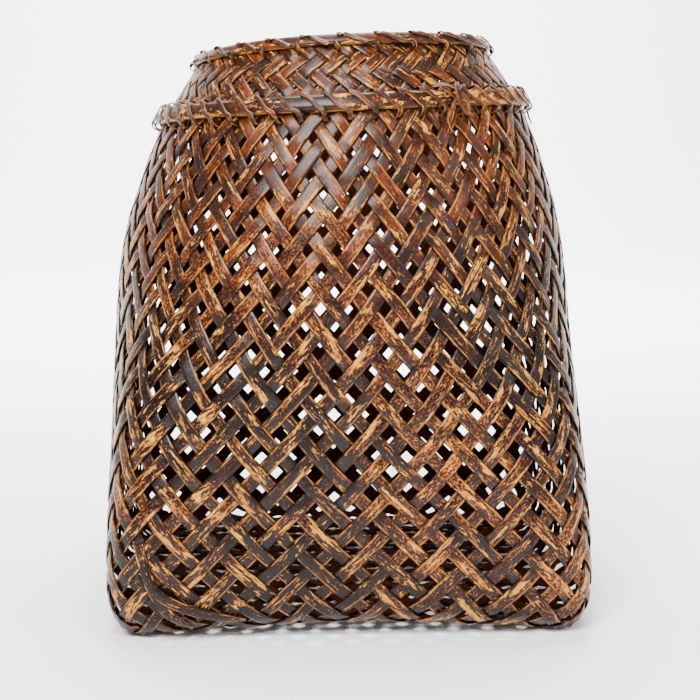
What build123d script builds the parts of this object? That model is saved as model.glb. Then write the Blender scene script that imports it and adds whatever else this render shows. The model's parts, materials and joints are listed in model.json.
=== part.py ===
from build123d import *
import math
import os

# Plaited split-bamboo basket: square twill base, bulging walls that turn round towards the
# shoulder, a lashed shoulder hoop and a steep neck that ends in a lashed rim.
# Millimetres, +Z up.  The origin is on the floor under the middle of the base.

# ---- driving dimensions -----------------------------------------------------------------------
SPLINTS_PER_WAY = 26          # splints laid each way across the base
SPLINT_WIDTH = 7.5            # width of a splint in the base and the walls
NECK_SPLINT_WIDTH = 4.7       # width of the same splint where it is squeezed into the neck
SPLINT_THICKNESS = 0.5        # thin enough to turn over and under its neighbours
WEAVE_LIFT = 0.68             # how far a splint rides outside or inside the middle surface
BASE_SIDE = 254.0             # side of the square base, fold to fold
BASE_DOME = 7.0               # how far the base arches up between its corners
CORNER_DIP = 0.7              # how far the middle surface dips below the floor at the corners
CORNER_SOFTNESS = 1.7         # how far the upright corners are rounded, weave steps
FOLD_SPREAD = 0.65            # how far the fold is rounded, weave steps
FOLD_REACH = 2.8              # where the rounding has faded out, weave steps from the fold
FLAT_SHARE = 0.27             # half length of the level part of a crossing, weave steps
SHOULDER_STEP = 28            # weave step of the shoulder hoop, counted up from the fold
RIM_STEP = 36                 # weave step at the top of the neck
SAG_RIGHT = 0.05              # rise of the shoulder and rim towards +X, mm per mm
SAG_FRONT = 0.033             # rise of the shoulder towards -Y
RIM_SAG_FRONT = 0.04          # how much more the rim rises towards -Y
TWILL_PHASE = 1               # where the first column of "over" floats starts
HOOP_WIDTH = 9.5              # height of the shoulder hoop along the wall
HOOP_THICKNESS = 3.6          # its thickness at the lower edge
HOOP_LEAN = 1.0               # how much thicker it is at the upper edge
HOOP_END_FROM = -58.0         # the separate closing length of the hoop, degrees from +X
HOOP_END_TO = 8.0
HOOP_GAP = 0.6                # degrees left between the two lengths of the hoop
RIM_BAND_WIDTH = 6.3
RIM_BAND_GAP = 0.25           # air between the rim bands and the layers of splints
RIM_OUTER_THICKNESS = 2.6
RIM_INNER_THICKNESS = 2.0
LASHING_WIDTH = 1.3
LASHING_THICKNESS = 0.4
SHOULDER_WRAP_STEPS = 2       # weave steps between the wraps round the shoulder hoop
RIM_WRAP_STEPS = 4            # weave steps between the wraps round the rim
WALL_HALF = 1.75              # room that the two layers of splints take each side of the middle

STEP_LENGTH = BASE_SIDE / SPLINTS_PER_WAY      # one weave step along the base edge
STEPS_ROUND = 4 * SPLINTS_PER_WAY              # weave steps round the whole basket

# Shape stations of the wall: weave step, height, half side of the square part of the section,
# radius of the round part and how far the section has turned round (0 square, 1 round).
STATIONS = [
    (0.0, 0.0, 127.0, 129.0, 0.00),
    (1.0, 8.0, 135.0, 137.5, 0.02),
    (2.5, 23.5, 139.5, 143.5, 0.06),
    (7.0, 74.3, 140.0, 147.5, 0.16),
    (12.0, 130.0, 136.1, 147.7, 0.38),
    (16.0, 175.4, 129.0, 141.8, 0.76),
    (20.0, 217.8, 122.5, 134.1, 0.98),
    (24.0, 257.0, 115.5, 122.5, 1.00),
    (26.5, 281.5, 109.0, 113.0, 1.00),
    (28.0, 293.5, 105.5, 107.5, 1.00),
    (31.0, 309.0, 97.0, 97.5, 1.00),
    (36.0, 328.0, 84.7, 84.5, 1.00),
]


def slope_at(rows, i, column):
    """Finite-difference slope of one column of the stations."""
    low = rows[max(i - 1, 0)]
    high = rows[min(i + 1, len(rows) - 1)]
    return (high[column] - low[column]) / (high[0] - low[0])


def station(step):
    """Height, half side, radius and roundness at any weave step (cubic between stations)."""
    rows = STATIONS
    i = 0
    while i < len(rows) - 2 and step > rows[i + 1][0]:
        i += 1
    a, b = rows[i], rows[i + 1]
    span = b[0] - a[0]
    t = min(max((step - a[0]) / span, -0.2), 1.0)
    out = []
    for column in (1, 2, 3, 4):
        m0 = slope_at(rows, i, column) * span
        m1 = slope_at(rows, i + 1, column) * span
        value = (2 * t**3 - 3 * t**2 + 1) * a[column] + (t**3 - 2 * t**2 + t) * m0
        value += (3 * t**2 - 2 * t**3) * b[column] + (t**3 - t**2) * m1
        out.append(value)
    return out


def square_point(u, half):
    """Point of a square of this half side, u weave steps round from its front left corner."""
    u %= STEPS_ROUND
    side, along = divmod(u, SPLINTS_PER_WAY)
    run = (2 * along / SPLINTS_PER_WAY - 1) * half
    return [(run, -half), (half, run), (-run, half), (-half, -run)][int(side) % 4]


def round_point(u, radius):
    """Point of a circle of this radius, matched to square_point."""
    angle = math.radians(225 + 360 * u / STEPS_ROUND)
    return radius * math.cos(angle), radius * math.sin(angle)


def base_height(x, y):
    """The base stands on its four corners and arches up between them."""
    half = BASE_SIDE / 2
    return BASE_DOME * (1 - min(abs(x * y) / half**2, 1.0) ** 1.4) - CORNER_DIP


def smooth(t):
    t = min(max(t, 0.0), 1.0)
    return t * t * (3 - 2 * t)


def slopes(v):
    """How far the wall rises towards +X and towards -Y at v steps up, mm per mm."""
    share = smooth((v - SHOULDER_STEP / 2) / (SHOULDER_STEP / 2))
    beyond = smooth((v - SHOULDER_STEP) / (RIM_STEP - SHOULDER_STEP))
    return SAG_RIGHT * share, SAG_FRONT * share + RIM_SAG_FRONT * beyond


def wall_point(u, v):
    """Middle surface of the wall at u steps round and v steps up."""
    z, half, radius, turned = station(v)
    # a few steps of u are averaged so that the vertical corners of the square are rounded
    soft = CORNER_SOFTNESS + 0.15 * max(v, 0.0)
    sx = sy = 0.0
    for k in range(-4, 5):
        px, py = square_point(u + k * soft / 3, half)
        sx += px * (5 - abs(k)) / 25
        sy += py * (5 - abs(k)) / 25
    rx, ry = round_point(u, radius)
    x = (1 - turned) * sx + turned * rx
    y = (1 - turned) * sy + turned * ry
    fade = 1 - smooth(v / 9)
    bx, by = square_point(u, BASE_SIDE / 2)
    z += base_height(bx, by) * fade
    rise_right, rise_front = slopes(v)
    z += rise_right * x - rise_front * y
    return Vector(x, y, z)


def base_point(x, y):
    return Vector(x, y, base_height(x, y))


def splint_stops(way, k):
    """Stops along one splint, wall end to wall end: two beside every crossing.

    Each stop is (region, place, crossing, rising): place and crossing are (u, v) on a wall
    or (x, y) on the base, in weave steps, and rising tells which way it climbs the wall."""
    n = SPLINTS_PER_WAY
    offset = 2 * k + 1 - n                       # x + y or x - y on the base
    x0 = max(-n / 2, offset - n / 2)
    reach = n - abs(offset)
    if way == "a":
        turn = 1 if offset > 0 else -1
        first, last = (3 * n - offset, turn), (n + offset, -turn)
    else:
        turn = -1 if offset > 0 else 1
        first, last = (offset % STEPS_ROUND, turn), (2 * n - offset, -turn)

    def climb(start, turn):
        stops = []
        for i in range(RIM_STEP):
            for v, crossing in ((i + FLAT_SHARE, i), (i + 1 - FLAT_SHARE, i + 1)):
                stops.append(("wall", (start + turn * v, v), (start + turn * crossing, crossing),
                              turn > 0))
        end = (start + turn * RIM_STEP, RIM_STEP)
        return stops + [("wall", end, end, turn > 0)]

    def on_base(run):
        x = x0 + run
        return (x, offset - x) if way == "a" else (x, x - offset)

    base = []
    for i in range(reach):
        base.append(("base", on_base(i + FLAT_SHARE), on_base(i), None))
        base.append(("base", on_base(i + 1 - FLAT_SHARE), on_base(i + 1), None))
    return climb(*first)[::-1] + base + climb(*last)


def rising_is_outside(u, v):
    """Wall twill: upright columns in the body, level rows in the neck."""
    if v < SHOULDER_STEP:
        return (round(u) - TWILL_PHASE) % 4 < 2
    return round(v) % 4 < 2


def a_is_outside_on_base(x, y):
    """Base twill: each quarter carries on the columns of the wall that it meets."""
    n = SPLINTS_PER_WAY
    if abs(y) >= abs(x):
        u = x + n / 2 if y < 0 else 2.5 * n - x
        return rising_is_outside(u, 0)
    u = 1.5 * n + y if x > 0 else 3.5 * n - y
    return not rising_is_outside(u, 0)


def rides_outside(way, region, crossing, rising):
    if region == "base":
        return a_is_outside_on_base(*crossing) == (way == "a")
    return rising_is_outside(*crossing) == rising


def raw_point(region, p, q, dp=0.0, dq=0.0):
    """Middle surface before the fold is rounded, dp and dq steps away from a stop.

    A walk over the fold carries on across the other side of it."""
    n = SPLINTS_PER_WAY
    half = n / 2
    if region == "wall":
        v = q + dq
        if v >= 0:
            return wall_point(p + dp, v)
        side, along = divmod(p % STEPS_ROUND, n)
        along = min(max(along + dp - half, -half), half)
        inset = half + v
        x, y = [(along, -inset), (inset, along), (-along, inset), (-inset, -along)][int(side) % 4]
        return base_point(x * STEP_LENGTH, y * STEP_LENGTH)
    x, y = p + dp, q + dq
    over_x, over_y = abs(x) - half, abs(y) - half
    if max(over_x, over_y) <= 0:
        return base_point(x * STEP_LENGTH, y * STEP_LENGTH)
    if over_y >= over_x:
        return wall_point(x + half if y < 0 else 2 * n + half - x, over_y)
    return wall_point(n + half + y if x > 0 else 3 * n + half - y, over_x)


def from_fold(region, p, q):
    return q if region == "wall" else SPLINTS_PER_WAY / 2 - max(abs(p), abs(q))


def middle_point(region, p, q):
    """Middle surface of the basket with the fold between base and walls rounded."""
    here = raw_point(region, p, q)
    share = 1 - smooth(from_fold(region, p, q) / FOLD_REACH)
    if share <= 0:
        return here
    total, weights = here, 1.0
    for reach in (0.5, 1.0, 1.5):
        weight = math.exp(-reach**2 / (2 * FOLD_SPREAD**2))
        for dp, dq in ((reach, reach), (-reach, reach), (reach, -reach), (-reach, -reach)):
            total = total + raw_point(region, p, q, dp, dq) * weight
            weights += weight
    return here * (1 - share) + total * (share / weights)


def place_and_normal(region, p, q):
    """Middle point and the direction out of the basket there."""
    e = 0.08
    if region == "wall":
        first = middle_point(region, p + e, q + e) - middle_point(region, p - e, abs(q - e))
        second = middle_point(region, p - e, q + e) - middle_point(region, p + e, abs(q - e))
    else:
        first = middle_point(region, p + e, q + e) - middle_point(region, p - e, q - e)
        second = middle_point(region, p + e, q - e) - middle_point(region, p - e, q + e)
    return middle_point(region, p, q), first.cross(second).normalized()


def width_at(region, q):
    if region == "base":
        return SPLINT_WIDTH
    squeeze = smooth((q - 20) / 11)
    return SPLINT_WIDTH + (NECK_SPLINT_WIDTH - SPLINT_WIDTH) * squeeze


def splint_sections(way, k):
    """Four corners of the splint's cross-section at every stop."""
    stops = splint_stops(way, k)
    pairs = [place_and_normal(region, *place) for region, place, _, _ in stops]
    sections = []
    for i, (region, place, crossing, rising) in enumerate(stops):
        here, normal = pairs[i]
        ahead = pairs[min(i + 1, len(pairs) - 1)][0] - pairs[max(i - 1, 0)][0]
        side = ahead.cross(normal).normalized()
        normal = side.cross(ahead).normalized()
        lift = WEAVE_LIFT if rides_outside(way, region, crossing, rising) else -WEAVE_LIFT
        centre = here + normal * lift
        across = side * (width_at(region, place[1]) / 2)
        deep = normal * (SPLINT_THICKNESS / 2)
        sections.append((centre + across + deep, centre - across + deep,
                         centre - across - deep, centre + across - deep))
    return sections


def band_through(sections):
    """Solid band whose four long edges run through the corners of the sections."""
    edges = [Edge.make_spline([s[j] for s in sections]) for j in range(4)]
    sides = [Face.make_surface_from_curves(edges[j], edges[(j + 1) % 4]) for j in range(4)]
    ends = [Face(Wire.make_polygon(sections[end], close=True)) for end in (0, -1)]
    return Solid(Shell(sides + ends))


os.makedirs("parts", exist_ok=True)

# ---- splints: each one climbs a wall, crosses the base and climbs the opposite way -------------
for way in ("a", "b"):
    for k in range(SPLINTS_PER_WAY):
        with BuildPart() as splint:
            add(band_through(splint_sections(way, k)))
            if splint.part.bounding_box().min.Z < 0:
                # the corner splints are worn flat where the basket stands on them
                split(bisect_by=Plane.XY, keep=Keep.TOP)
        name = f"splint_{way}_{k + 1:02d}"
        splint.part.label = name
        export_step(splint.part, f"parts/{name}.step")


def radial_frame(degrees, step):
    """Plane through the axis: x outwards, y up the axis; tilted with the shoulder and rim."""
    rise_right, rise_front = slopes(step)
    across = Vector(1, 0, rise_right).normalized()
    up = across.cross(Vector(0, 1, -rise_front)).normalized()
    depth = up.cross(across)
    radial = across * math.cos(math.radians(degrees)) + depth * math.sin(math.radians(degrees))
    origin = Vector(0, 0, station(step)[0])
    return Plane(origin=origin, x_dir=radial, z_dir=radial.cross(up)), Axis(origin, up)


def lean(step_low, step_high):
    """Unit directions up the wall and out of it in a radial plane, between two weave steps."""
    z0, _, r0, _ = station(step_low)
    z1, _, r1, _ = station(step_high)
    up = Vector(r1 - r0, z1 - z0).normalized()
    return up, Vector(up.Y, -up.X)


def band_outline(step, low, high, near, far_low, far_high, step_low, step_high):
    """Corners of a hoop's section from its heights along the wall and distances off it."""
    up, out = lean(step_low, step_high)
    middle = Vector(station(step)[2], 0)
    return [middle + up * low + out * near, middle + up * high + out * near,
            middle + up * high + out * far_high, middle + up * low + out * far_low]


def wrap_loop(low, high, inner, outer):
    """(distance off the wall, height along it, share of the advance) once round a hoop."""
    corner = 1.5
    loop = []
    corners = ((outer, high, 90, (0, 0.015, 0.07)), (outer, low, 0, (0.93, 0.985, 1)),
               (inner, low, -90, (1, 1, 1)), (inner, high, -180, (1, 1, 1)))
    for cx, cy, start, shares in corners:
        sx = -1 if cx == outer else 1
        sy = -1 if cy == high else 1
        if cx == outer and cy == low:
            # the slanting pass down the outside follows the curve of the hoop
            for share in (0.26, 0.5, 0.74):
                loop.append((outer, high + (low - high) * share, share))
        for turn, share in zip((0, -45, -90), shares):
            angle = math.radians(start + turn)
            loop.append((cx + sx * corner + corner * math.cos(angle),
                         cy + sy * corner + corner * math.sin(angle), share))
    return loop


def lashing_sections(step, step_low, step_high, over, inner, outer, every, first):
    """A flat splint wound round a hoop, slanting down its outside and straight up inside.

    It passes through the gaps of the weave at step_low and step_high; where over is given
    it passes over the top of the hoop at that height instead of through step_high."""
    start = wall_point(first, step)
    low = -(wall_point(first, step_low) - start).length
    high = over if over else (wall_point(first, step_high) - start).length
    loop = wrap_loop(low, high, inner, outer)
    middle = Vector((inner + outer) / 2, (low + high) / 2)
    line = []
    for turn in range(STEPS_ROUND // every):
        for off, along, share in loop:
            u = first + every * (turn + share)
            foot, out = place_and_normal("wall", u, step)
            rise = (wall_point(u, step_high) - wall_point(u, step_low)).normalized()
            out = (out - rise * out.dot(rise)).normalized()
            if along < 0:
                # the gaps of the weave lie a little nearer where the neck leans less
                along *= (wall_point(u, step_low) - foot).length / -low
            away = out * (off - middle.X) + rise * (along - middle.Y)
            line.append((foot + out * off + rise * along, away, tangent_round(out)))
    sections = []
    for i, (here, away, level) in enumerate(line):
        ahead = (line[min(i + 1, len(line) - 1)][0] - line[max(i - 1, 0)][0]).normalized()
        side = (level - ahead * level.dot(ahead)).normalized()
        normal = side.cross(ahead).normalized()
        if normal.dot(away) < 0:
            normal = normal * -1
        across = side * (LASHING_WIDTH / 2)
        deep = normal * (LASHING_THICKNESS / 2)
        sections.append((here + across + deep, here - across + deep,
                         here - across - deep, here + across - deep))
    return sections


def tangent_round(out):
    """Level direction round the basket where its wall faces out."""
    return Vector(0, 0, 1).cross(out).normalized()


# ---- shoulder hoop: a long split-bamboo length and a shorter one that closes the ring ---------
hoop_section = band_outline(SHOULDER_STEP, -HOOP_WIDTH / 2, HOOP_WIDTH / 2, WALL_HALF,
                            WALL_HALF + HOOP_THICKNESS, WALL_HALF + HOOP_THICKNESS + HOOP_LEAN,
                            SHOULDER_STEP - 1, SHOULDER_STEP + 1)
hoop_lengths = (
    ("shoulder_hoop", HOOP_END_TO + HOOP_GAP, 360 + HOOP_END_FROM - HOOP_GAP),
    ("shoulder_hoop_end", HOOP_END_FROM, HOOP_END_TO),
)
for name, start, stop in hoop_lengths:
    frame, axis = radial_frame(start, SHOULDER_STEP)
    with BuildPart() as hoop:
        with BuildSketch(frame):
            with BuildLine():
                Polyline(*[(c.X, c.Y) for c in hoop_section], close=True)
            make_face()
        revolve(axis=axis, revolution_arc=stop - start)
        outer_edges = hoop.edges().filter_by(GeomType.CIRCLE).sort_by(
            lambda edge: edge.radius)[-2:]
        fillet(outer_edges, radius=0.9)
    hoop.part.label = name
    export_step(hoop.part, f"parts/{name}.step")

# ---- rim: an outer and an inner band that grip the ends of the splints ------------------------
rim_bands = (
    ("rim_band_outer", WALL_HALF + RIM_BAND_GAP, WALL_HALF + RIM_OUTER_THICKNESS),
    ("rim_band_inner", -WALL_HALF, -WALL_HALF - RIM_INNER_THICKNESS),
)
for name, near, far in rim_bands:
    frame, axis = radial_frame(150, RIM_STEP)
    outline = band_outline(RIM_STEP, 0.3 - RIM_BAND_WIDTH, 0.3, near, far, far,
                           RIM_STEP - 3, RIM_STEP)
    with BuildPart() as band:
        with BuildSketch(frame):
            with BuildLine():
                Polyline(*[(c.X, c.Y) for c in outline], close=True)
            make_face()
        revolve(axis=axis, revolution_arc=358.5)
    band.part.label = name
    export_step(band.part, f"parts/{name}.step")

# ---- lashings: flat splints wound through the weave and round each hoop -----------------------
lashings = {
    "shoulder_lashing": lashing_sections(
        SHOULDER_STEP, SHOULDER_STEP - 1, SHOULDER_STEP + 1, None,
        -WALL_HALF - 0.7, WALL_HALF + HOOP_THICKNESS + HOOP_LEAN + 0.7,
        SHOULDER_WRAP_STEPS, 1),
    "rim_lashing": lashing_sections(
        RIM_STEP, RIM_STEP - 2, RIM_STEP, 1.5,
        -WALL_HALF - RIM_INNER_THICKNESS - 0.8, WALL_HALF + RIM_OUTER_THICKNESS + 0.8,
        RIM_WRAP_STEPS, 0),
}
for name, sections in lashings.items():
    with BuildPart() as lashing:
        add(band_through(sections))
    lashing.part.label = name
    export_step(lashing.part, f"parts/{name}.step")
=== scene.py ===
"""Plaited split-bamboo basket: woven splints, lashed shoulder hoop and rim, soft studio stage."""

import json
import math
import random

import bpy
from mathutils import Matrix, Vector


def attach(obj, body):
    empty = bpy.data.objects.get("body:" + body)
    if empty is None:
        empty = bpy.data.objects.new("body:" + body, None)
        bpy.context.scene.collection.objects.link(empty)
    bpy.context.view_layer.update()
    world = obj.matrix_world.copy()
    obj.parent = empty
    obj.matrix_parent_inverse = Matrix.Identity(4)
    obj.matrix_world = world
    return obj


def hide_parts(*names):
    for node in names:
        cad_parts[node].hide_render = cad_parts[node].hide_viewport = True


bl_info = {
    "name": "Plaited Bamboo Basket",
    "version": (1, 0, 0),
    "blender": (4, 5, 0),
    "location": "View3D > Sidebar > Basket",
    "description": "Builds a twill-plaited bamboo basket around its CAD frame",
    "category": "Object",
}

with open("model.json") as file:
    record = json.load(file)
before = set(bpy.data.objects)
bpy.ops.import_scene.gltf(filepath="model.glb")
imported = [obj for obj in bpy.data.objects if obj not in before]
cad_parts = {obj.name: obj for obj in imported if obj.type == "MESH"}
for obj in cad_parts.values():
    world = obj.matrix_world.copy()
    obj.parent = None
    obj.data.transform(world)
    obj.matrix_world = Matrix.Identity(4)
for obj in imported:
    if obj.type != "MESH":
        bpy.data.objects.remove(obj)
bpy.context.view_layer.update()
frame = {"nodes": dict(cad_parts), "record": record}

# ---- plait ------------------------------------------------------------------------------------
# Places on the wall are counted in steps of the weave: u round it from the front left corner,
# and v up it from the fold.
MM = 0.001
SPLINTS_PER_WAY = 26
BASE_SIDE = 0.254
BASE_DOME = 0.007              # how far the middle of the base stands over its corners
BASE_DOME_POWER = 1.4
STEP_LENGTH = BASE_SIDE / SPLINTS_PER_WAY
STEPS_ROUND = 4 * SPLINTS_PER_WAY
SHOULDER_STEP = 28
RIM_STEP = 36
SAG_RIGHT = 0.05               # slope of the neck, rising towards +X
SAG_FRONT = 0.033              # slope of the neck, rising towards -Y
RIM_SAG_FRONT = 0.04           # what the rim adds to that
TWILL_PHASE = 1
CORNER_SOFTNESS = 1.7          # steps that a wall corner is rounded over at the fold
CORNER_SOFTENING = 0.15        # what each step up adds to them
CORNER_TAPS = 4
FOOT_BLEND = 9                 # steps up that the wall's foot takes to leave the base's shape
FOLD_SPREAD = 0.65
FOLD_REACH = 2.8               # steps from the fold that its rounding reaches
FOLD_RINGS = (0.5, 1.0, 1.5)
NORMAL_REACH = 0.08            # steps each way that a direction is measured over
STOPS_PER_STEP = 4
SHORTEST_RUN = 0.0002          # stops nearer to each other than this are one stop
SIDE_CHANGE_FROM = 0.2         # share of a step where a splint starts to change sides
SIDE_CHANGE_SPAN = 0.6

# Wall stations: weave step, height, half side, radius (mm) and how far the section has turned
# from square to round.
STATIONS = [
    (0.0, 0.0, 127.0, 129.0, 0.00),
    (1.0, 8.0, 135.0, 137.5, 0.02),
    (2.5, 23.5, 139.5, 143.5, 0.06),
    (7.0, 74.3, 140.0, 147.5, 0.16),
    (12.0, 130.0, 136.1, 147.7, 0.38),
    (16.0, 175.4, 129.0, 141.8, 0.76),
    (20.0, 217.8, 122.5, 134.1, 0.98),
    (24.0, 257.0, 115.5, 122.5, 1.00),
    (26.5, 281.5, 109.0, 113.0, 1.00),
    (28.0, 293.5, 105.5, 107.5, 1.00),
    (31.0, 309.0, 97.0, 97.5, 1.00),
    (36.0, 328.0, 84.7, 84.5, 1.00),
]


def slope_at(rows, i, column):
    """Slope of one column of the stations at row i."""
    low = rows[max(i - 1, 0)]
    high = rows[min(i + 1, len(rows) - 1)]
    return (high[column] - low[column]) / (high[0] - low[0])


def station(step):
    """Height, half side, radius and roundness at any weave step, lengths in millimetres."""
    rows = STATIONS
    i = 0
    while i < len(rows) - 2 and step > rows[i + 1][0]:
        i += 1
    a, b = rows[i], rows[i + 1]
    span = b[0] - a[0]
    t = min(max((step - a[0]) / span, -0.2), 1.0)
    out = []
    for column in (1, 2, 3, 4):
        m0 = slope_at(rows, i, column) * span
        m1 = slope_at(rows, i + 1, column) * span
        value = (2 * t**3 - 3 * t**2 + 1) * a[column] + (t**3 - 2 * t**2 + t) * m0
        value += (3 * t**2 - 2 * t**3) * b[column] + (t**3 - t**2) * m1
        out.append(value)
    return out


STATION_CACHE = {}


def quick_station(step):
    """The station at a step, worked out once."""
    key = round(step, 4)
    if key not in STATION_CACHE:
        STATION_CACHE[key] = station(step)
    return STATION_CACHE[key]


def square_point(u, half):
    """Point u steps round a square, in the unit of its half side."""
    u %= STEPS_ROUND
    side, along = divmod(u, SPLINTS_PER_WAY)
    run = (2 * along / SPLINTS_PER_WAY - 1) * half
    return [(run, -half), (half, run), (-run, half), (-half, -run)][int(side) % 4]


def smooth(t):
    """Even ease from 0 to 1."""
    t = min(max(t, 0.0), 1.0)
    return t * t * (3 - 2 * t)


def base_height(x, y):
    """Height of the base's middle surface, zero at its corners."""
    half = BASE_SIDE / 2
    return BASE_DOME * (1 - min(abs(x * y) / half**2, 1.0) ** BASE_DOME_POWER)


def slopes(v):
    """How far the wall rises towards +X and towards -Y at v steps up."""
    share = smooth((v - SHOULDER_STEP / 2) / (SHOULDER_STEP / 2))
    beyond = smooth((v - SHOULDER_STEP) / (RIM_STEP - SHOULDER_STEP))
    return SAG_RIGHT * share, SAG_FRONT * share + RIM_SAG_FRONT * beyond


def wall_point(u, v):
    """Middle surface of the wall, u steps round and v steps up."""
    z, half, radius, turned = quick_station(v)
    angle = math.radians(225 + 360 * u / STEPS_ROUND)
    x = turned * radius * math.cos(angle)
    y = turned * radius * math.sin(angle)
    if turned < 0.9999:
        soft = CORNER_SOFTNESS + CORNER_SOFTENING * max(v, 0.0)
        for k in range(-CORNER_TAPS, CORNER_TAPS + 1):
            px, py = square_point(u + k * soft / 3, half)
            share = (1 - turned) * (CORNER_TAPS + 1 - abs(k)) / (CORNER_TAPS + 1) ** 2
            x += px * share
            y += py * share
    bx, by = square_point(u, BASE_SIDE / 2)
    z = z * MM + base_height(bx, by) * (1 - smooth(v / FOOT_BLEND))
    rise_right, rise_front = slopes(v)
    z += (rise_right * x - rise_front * y) * MM
    return Vector((x * MM, y * MM, z))


def base_point(x, y):
    return Vector((x, y, base_height(x, y)))


def raw_point(region, p, q, dp=0.0, dq=0.0):
    """Middle surface with a sharp fold, carried on past the fold from either side."""
    n = SPLINTS_PER_WAY
    half = n / 2
    if region == "wall":
        v = q + dq
        if v >= 0:
            return wall_point(p + dp, v)
        side, along = divmod(p % STEPS_ROUND, n)
        along = min(max(along + dp - half, -half), half)
        inset = half + v
        x, y = [(along, -inset), (inset, along), (-along, inset), (-inset, -along)][int(side) % 4]
        return base_point(x * STEP_LENGTH, y * STEP_LENGTH)
    x, y = p + dp, q + dq
    over_x, over_y = abs(x) - half, abs(y) - half
    if max(over_x, over_y) <= 0:
        return base_point(x * STEP_LENGTH, y * STEP_LENGTH)
    if over_y >= over_x:
        return wall_point(x + half if y < 0 else 2 * n + half - x, over_y)
    return wall_point(n + half + y if x > 0 else 3 * n + half - y, over_x)


def middle_point(region, p, q):
    """Middle surface of the basket, with the fold between base and walls rounded."""
    here = raw_point(region, p, q)
    rise = q if region == "wall" else SPLINTS_PER_WAY / 2 - max(abs(p), abs(q))
    share = 1 - smooth(rise / FOLD_REACH)
    if share <= 0:
        return here
    total, weights = here.copy(), 1.0
    for reach in FOLD_RINGS:
        weight = math.exp(-(reach**2) / (2 * FOLD_SPREAD**2))
        for dp, dq in ((reach, reach), (-reach, reach), (reach, -reach), (-reach, -reach)):
            total += raw_point(region, p, q, dp, dq) * weight
            weights += weight
    return here * (1 - share) + total * (share / weights)


def place_and_normal(region, p, q):
    """Middle point and the direction out of the basket there."""
    e = NORMAL_REACH
    if region == "wall":
        v = max(q, e)              # right on the fold, the direction is taken just above it
        first = middle_point(region, p + e, v + e) - middle_point(region, p - e, v - e)
        second = middle_point(region, p - e, v + e) - middle_point(region, p + e, v - e)
    else:
        first = middle_point(region, p + e, q + e) - middle_point(region, p - e, q - e)
        second = middle_point(region, p + e, q - e) - middle_point(region, p - e, q + e)
    return middle_point(region, p, q), first.cross(second).normalized()


def rising_is_outside(u, v):
    """Twill of the wall: upright zigzag columns in the body and level rows in the neck."""
    if v < SHOULDER_STEP:
        return (round(u) - TWILL_PHASE) % 4 < 2
    return round(v) % 4 < 2


def a_is_outside_on_base(x, y):
    """Twill of the base: each quarter carries on the columns of its wall."""
    n = SPLINTS_PER_WAY
    if abs(y) >= abs(x):
        return rising_is_outside(x + n / 2 if y < 0 else 2.5 * n - x, 0)
    return not rising_is_outside(1.5 * n + y if x > 0 else 3.5 * n - y, 0)


def rides_outside(way, region, crossing, rising):
    if region == "base":
        return a_is_outside_on_base(*crossing) == (way == "a")
    return rising_is_outside(*crossing) == rising


def splint_course(way, k):
    """Crossings of one splint, wall end to wall end: (region, place, rising)."""
    n = SPLINTS_PER_WAY
    offset = 2 * k + 1 - n
    x0 = max(-n / 2, offset - n / 2)
    reach = n - abs(offset)
    if way == "a":
        turn = 1 if offset > 0 else -1
        first, last = (3 * n - offset, turn), (n + offset, -turn)
    else:
        turn = -1 if offset > 0 else 1
        first, last = (offset % STEPS_ROUND, turn), (2 * n - offset, -turn)

    def climb(start, turn):
        return [("wall", (start + turn * v, v), turn > 0) for v in range(1, RIM_STEP + 1)]

    def on_base(x):
        return (x, offset - x) if way == "a" else (x, x - offset)

    ends = (first[0], 0), (last[0], 0)
    base = [("base", on_base(x0 + i), None) for i in range(reach + 1)]
    return climb(*first)[::-1] + base + climb(*last), ends


def splint_line(way, k, per_step):
    """Fine stops along a splint: place, direction out, lift (-1..1) and steps up the wall."""
    course, ends = splint_course(way, k)
    states = [1.0 if rides_outside(way, r, c, rising) else -1.0 for r, c, rising in course]
    line = []
    for i in range(len(course) - 1):
        (r0, c0, _), (r1, c1, _) = course[i], course[i + 1]
        if r0 == "wall" and r1 == "base":
            region, a, b = "wall", c0, ends[0]
        elif r0 == "base" and r1 == "wall":
            region, a, b = "wall", ends[1], c1
        else:
            region, a, b = r0, c0, c1
        count = per_step if i < len(course) - 2 else per_step + 1
        for j in range(count):
            t = j / per_step
            p = a[0] + (b[0] - a[0]) * t
            q = a[1] + (b[1] - a[1]) * t
            change = smooth((t - SIDE_CHANGE_FROM) / SIDE_CHANGE_SPAN)
            lift = states[i] * (1 - change) + states[i + 1] * change
            rise = q if region == "wall" else -1.0
            place, normal = place_and_normal(region, p, q)
            if not line or (place - line[-1][0]).length > SHORTEST_RUN:
                line.append((place, normal, lift, rise))
    return line


# ---- meshes -----------------------------------------------------------------------------------
END_WEAR = 0.4
WANDER_STOPS = 400


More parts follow.
